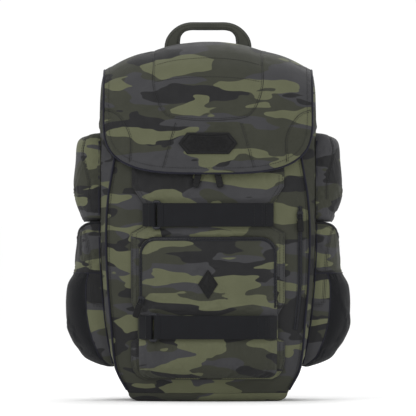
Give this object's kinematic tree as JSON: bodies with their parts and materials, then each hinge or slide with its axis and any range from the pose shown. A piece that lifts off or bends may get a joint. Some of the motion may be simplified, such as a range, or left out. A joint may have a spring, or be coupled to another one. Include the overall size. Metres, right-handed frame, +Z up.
{
  "type": "tackle backpack",
  "caption": "Camouflage tackle backpack with a hinged hood lid, front organiser with two ring straps, zip pockets, mesh bottle pockets, grab handle and padded shoulder straps.",
  "frame": {"origin": "centre of the flat underside, on the ground", "axes": "+Z up, front faces -Y, +X is the right-hand side seen from the front"},
  "size_m": [0.4028, 0.2831, 0.536],
  "materials": {
    "camo": "matte printed polyester canvas",
    "camo_dark": "matte printed polyester canvas",
    "spacer_mesh": "black open spacer mesh over foam",
    "plastic_sheet": "plain sheet",
    "lining": "thin coated lining cloth",
    "piping": "black woven piping",
    "zip_tape": "black coil zip on tape",
    "rubber": "soft moulded black",
    "webbing": "black woven webbing",
    "hardware": "fine textured black acetal",
    "stretch_mesh": "black stretch mesh"
  },
  "bodies": {
    "pack_body": {"front_panel": "camo", "side_gusset_left": "camo", "side_gusset_right": "camo", "base_panel": "camo", "top_yoke": "camo", "organiser_panel": "camo", "front_pocket": "camo", "upper_side_pocket_left": "camo", "upper_side_pocket_right": "camo", "bottle_pocket_band_left": "camo", "bottle_pocket_band_right": "camo", "bottle_pocket_front_left": "camo", "bottle_pocket_front_right": "camo", "lid_hinge_strip": "camo_dark", "back_panel": "spacer_mesh", "shoulder_pad_left": "spacer_mesh", "shoulder_pad_right": "spacer_mesh", "frame_sheet": "plastic_sheet", "inner_sleeve": "lining", "front_piping_left": "piping", "front_piping_right": "piping", "main_zip_track": "zip_tape", "front_pocket_zip": "zip_tape", "side_zip": "zip_tape", "pocket_emblem": "rubber", "upper_strap_under": "webbing", "upper_strap_tab": "webbing", "lower_strap_under": "webbing", "lower_strap_tab": "webbing", "lower_webbing_left": "webbing", "lower_webbing_right": "webbing", "anchor_tab_left": "webbing", "anchor_tab_right": "webbing", "upper_strap_ring": "hardware", "lower_strap_ring": "hardware", "ladder_lock_left": "hardware", "ladder_lock_right": "hardware", "bottle_pocket_mesh_left": "stretch_mesh", "bottle_pocket_mesh_right": "stretch_mesh"},
    "lid": {"lid_shell": "camo", "lid_lining": "lining", "lid_piping": "piping", "lid_badge": "rubber"},
    "grab_handle": {"grab_handle": "camo_dark"},
    "main_slider_left": {"main_slider_left": "hardware"},
    "main_slider_right": {"main_slider_right": "hardware"},
    "main_pull_left": {"main_pull_left": "rubber"},
    "main_pull_right": {"main_pull_right": "rubber"},
    "pocket_slider": {"pocket_slider": "hardware"},
    "pocket_pull": {"pocket_pull": "rubber"},
    "side_zip_slider": {"side_zip_slider": "hardware"},
    "side_zip_pull": {"side_zip_pull": "rubber"},
    "upper_strap_flap": {"upper_strap_flap": "webbing"},
    "lower_strap_flap": {"lower_strap_flap": "webbing"},
    "strap_tail_left": {"strap_tail_left": "webbing"},
    "strap_tail_right": {"strap_tail_right": "webbing"},
    "sternum_left": {"sternum_strap_left": "webbing", "sternum_buckle_female": "hardware"},
    "sternum_right": {"sternum_strap_right": "webbing", "sternum_buckle_male": "hardware"}
  },
  "joints": [
    {"name": "lid_hinge", "type": "hinge", "parent": "pack_body", "child": "lid", "pos_m": [0, 0.0708, 0.5034], "axis": [-1, 0, 0], "range_deg": [0, 100]},
    {"name": "handle_fold", "type": "hinge", "parent": "pack_body", "child": "grab_handle", "pos_m": [0, 0.0885, 0.5005], "axis": [-1, 0, 0], "range_deg": [0, 75], "stiffness_Nm_per_rad": 0.1},
    {"name": "main_slider_left_run", "type": "slide", "parent": "pack_body", "child": "main_slider_left", "axis": [-0.9945, 0.1044, 0], "range_m": [0, 0.032]},
    {"name": "main_slider_right_run", "type": "slide", "parent": "pack_body", "child": "main_slider_right", "axis": [0.9945, 0.1044, 0], "range_m": [0, 0.032]},
    {"name": "main_pull_left_swing", "type": "hinge", "parent": "main_slider_left", "child": "main_pull_left", "pos_m": [-0.0115, -0.10434, 0.3275], "axis": [0, 1, 0], "range_deg": [-14, 14]},
    {"name": "main_pull_right_swing", "type": "hinge", "parent": "main_slider_right", "child": "main_pull_right", "pos_m": [0.0115, -0.10434, 0.3275], "axis": [0, -1, 0], "range_deg": [-14, 14]},
    {"name": "pocket_slider_run", "type": "slide", "parent": "pack_body", "child": "pocket_slider", "axis": [0, 0, 1], "range_m": [0, 0.058]},
    {"name": "pocket_pull_flip", "type": "hinge", "parent": "pocket_slider", "child": "pocket_pull", "pos_m": [-0.094, -0.10458, 0.143], "axis": [-0.9511, 0, 0.309], "range_deg": [0, 150]},
    {"name": "side_zip_slider_run", "type": "slide", "parent": "pack_body", "child": "side_zip_slider", "axis": [0, 0, -1], "range_m": [0, 0.082]},
    {"name": "side_zip_pull_flip", "type": "hinge", "parent": "side_zip_slider", "child": "side_zip_pull", "pos_m": [0.1292, -0.07663, 0.262], "axis": [-0.9986, 0, -0.0523], "range_deg": [0, 150]},
    {"name": "upper_strap_peel", "type": "hinge", "parent": "pack_body", "child": "upper_strap_flap", "pos_m": [-0.062, -0.10864, 0.262], "axis": [0, 0, -1], "range_deg": [0, 150]},
    {"name": "lower_strap_peel", "type": "hinge", "parent": "pack_body", "child": "lower_strap_flap", "pos_m": [-0.0665, -0.11557, 0.1045], "axis": [0, 0.0458, -0.999], "range_deg": [0, 150]},
    {"name": "strap_tail_left_swing", "type": "hinge", "parent": "pack_body", "child": "strap_tail_left", "pos_m": [-0.1126, 0.1165, 0.1463], "axis": [1, 0, 0], "range_deg": [0, 80]},
    {"name": "strap_tail_right_swing", "type": "hinge", "parent": "pack_body", "child": "strap_tail_right", "pos_m": [0.1126, 0.1165, 0.1463], "axis": [1, 0, 0], "range_deg": [0, 80]},
    {"name": "sternum_left_swing", "type": "hinge", "parent": "pack_body", "child": "sternum_left", "pos_m": [-0.074, 0.1516, 0.3378], "axis": [0, -1, 0], "range_deg": [0, 45]},
    {"name": "sternum_right_swing", "type": "hinge", "parent": "pack_body", "child": "sternum_right", "pos_m": [0.074, 0.1516, 0.3378], "axis": [0, 1, 0], "range_deg": [0, 45]}
  ]
}
